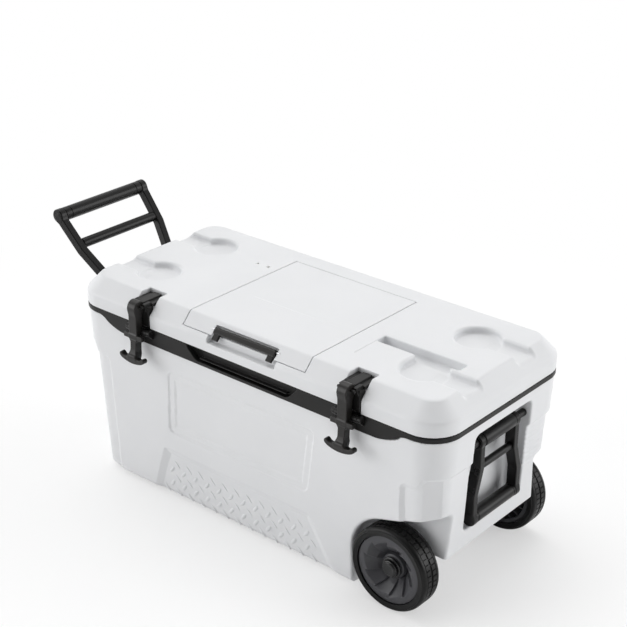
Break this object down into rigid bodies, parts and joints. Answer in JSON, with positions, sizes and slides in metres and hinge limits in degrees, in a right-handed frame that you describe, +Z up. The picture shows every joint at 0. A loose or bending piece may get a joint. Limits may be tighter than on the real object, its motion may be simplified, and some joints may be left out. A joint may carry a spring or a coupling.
{
  "type": "wheeled cooler",
  "caption": "Insulated hard-sided cooler with a hinged lid, a smaller hatch in the lid, front T latches, end carry handles, a folding tow handle and wheels.",
  "frame": {"origin": "middle of the tub on the floor, in the flat face of the underside", "axes": "+X along the cooler to the wheel end, +Y to the hinges at the back, +Z up"},
  "size_m": [1.0018, 0.426, 0.4908],
  "materials": {
    "white_plastic": "matte",
    "dark_plastic": "satin",
    "grip_plastic": "matte",
    "latch_rubber": "matte",
    "tyre_plastic": "matte",
    "wheel_grey": "satin",
    "cap_black": "gloss",
    "steel": "satin",
    "foam": "matte",
    "seal_rubber": "matte",
    "ice_pack_blue": "satin"
  },
  "bodies": {
    "root": {"tub_shell": "white_plastic", "tub_insulation": "foam", "tub_liner": "dark_plastic", "rim_trim": "dark_plastic", "keeper_left": "dark_plastic", "keeper_right": "dark_plastic", "tub_hinge_left": "dark_plastic", "tub_hinge_right": "dark_plastic", "hinge_pins": "steel", "axle": "steel", "axle_bracket_front": "dark_plastic", "axle_bracket_back": "dark_plastic", "push_nuts": "steel", "handle_rod_left": "steel", "handle_rod_right": "steel", "drain_fitting": "dark_plastic", "stay_anchor_tub": "dark_plastic"},
    "lid": {"lid_shell": "white_plastic", "lid_insulation": "foam", "lid_liner": "white_plastic", "lid_gasket": "seal_rubber", "lid_hinge_left": "dark_plastic", "lid_hinge_right": "dark_plastic", "latch_mount_left": "dark_plastic", "latch_mount_right": "dark_plastic", "latch_pins": "steel", "port_collar": "dark_plastic", "ice_pack_left": "ice_pack_blue", "ice_pack_right": "ice_pack_blue", "pack_clip_left": "dark_plastic", "pack_clip_right": "dark_plastic", "stay_anchor_lid": "dark_plastic"},
    "hatch": {"hatch_shell": "white_plastic", "hatch_liner": "white_plastic", "hatch_insulation": "foam", "hatch_gasket": "seal_rubber", "hatch_pins": "steel", "hatch_latch_pins": "steel"},
    "hatch_latch": {"hatch_latch": "dark_plastic"},
    "latch_left": {"latch_left": "latch_rubber"},
    "latch_right": {"latch_right": "latch_rubber"},
    "wheel_front": {"tyre_front": "tyre_plastic", "wheel_rim_front": "wheel_grey", "hub_cap_front": "cap_black"},
    "wheel_back": {"tyre_back": "tyre_plastic", "wheel_rim_back": "wheel_grey", "hub_cap_back": "cap_black"},
    "tow_handle": {"tow_rails": "dark_plastic", "tow_crossbar": "dark_plastic", "tow_grip": "grip_plastic"},
    "carry_handle_right": {"carry_rails_right": "dark_plastic", "carry_tube_right": "grip_plastic", "carry_crossbar_right": "dark_plastic", "carry_grip_right": "grip_plastic"},
    "carry_handle_left": {"carry_plate_left": "dark_plastic", "carry_grip_left": "grip_plastic"},
    "stay_lower": {"stay_lower": "steel"},
    "stay_upper": {"stay_upper": "steel"},
    "drain_plug": {"drain_plug": "dark_plastic"}
  },
  "joints": [
    {"name": "lid_open", "type": "hinge", "parent": "root", "child": "lid", "pos_m": [0, 0.198, 0.363], "axis": [-1, 0, 0], "range_deg": [0, 100]},
    {"name": "hatch_open", "type": "hinge", "parent": "lid", "child": "hatch", "pos_m": [0, 0.1185, 0.412], "axis": [-1, 0, 0], "range_deg": [0, 95]},
    {"name": "hatch_latch_lift", "type": "hinge", "parent": "hatch", "child": "hatch_latch", "pos_m": [0, -0.17545, 0.40542], "axis": [-1, 0, 0], "range_deg": [0, 60]},
    {"name": "latch_swing_left", "type": "hinge", "parent": "lid", "child": "latch_left", "pos_m": [-0.248, -0.202, 0.408], "axis": [-1, 0, 0], "range_deg": [0, 110]},
    {"name": "latch_swing_right", "type": "hinge", "parent": "lid", "child": "latch_right", "pos_m": [0.248, -0.202, 0.408], "axis": [-1, 0, 0], "range_deg": [0, 110]},
    {"name": "wheel_spin_front", "type": "hinge", "parent": "root", "child": "wheel_front", "pos_m": [0.331, 0, 0.08], "axis": [0, 1, 0], "continuous": true},
    {"name": "wheel_spin_back", "type": "hinge", "parent": "root", "child": "wheel_back", "pos_m": [0.331, 0, 0.08], "axis": [0, 1, 0], "continuous": true},
    {"name": "tow_fold", "type": "hinge", "parent": "root", "child": "tow_handle", "pos_m": [-0.412, 0, 0.312], "axis": [0, -1, 0], "range_deg": [0, 138.5]},
    {"name": "carry_swing_right", "type": "hinge", "parent": "root", "child": "carry_handle_right", "pos_m": [0.411, 0, 0.304], "axis": [0, -1, 0], "range_deg": [0, 100]},
    {"name": "carry_swing_left", "type": "hinge", "parent": "root", "child": "carry_handle_left", "pos_m": [-0.412, 0, 0.312], "axis": [0, 1, 0], "range_deg": [0, 110]},
    {"name": "stay_lower_turn", "type": "hinge", "parent": "root", "child": "stay_lower", "pos_m": [0, 0.012, 0.293], "axis": [1, 0, 0], "range_deg": [0, 126]},
    {"name": "stay_upper_turn", "type": "hinge", "parent": "lid", "child": "stay_upper", "pos_m": [0, 0.056, 0.3475], "axis": [1, 0, 0], "range_deg": [0, 65]},
    {"name": "drain_turn", "type": "hinge", "parent": "root", "child": "drain_plug", "pos_m": [-0.3, 0, 0.062], "axis": [0, 1, 0], "range_deg": [0, 90]}
  ],
  "couplings": [
    {"joint": "stay_lower_turn", "follows": "lid_open", "ratio": 1.2521},
    {"joint": "stay_upper_turn", "follows": "lid_open", "ratio": 0.6381}
  ]
}
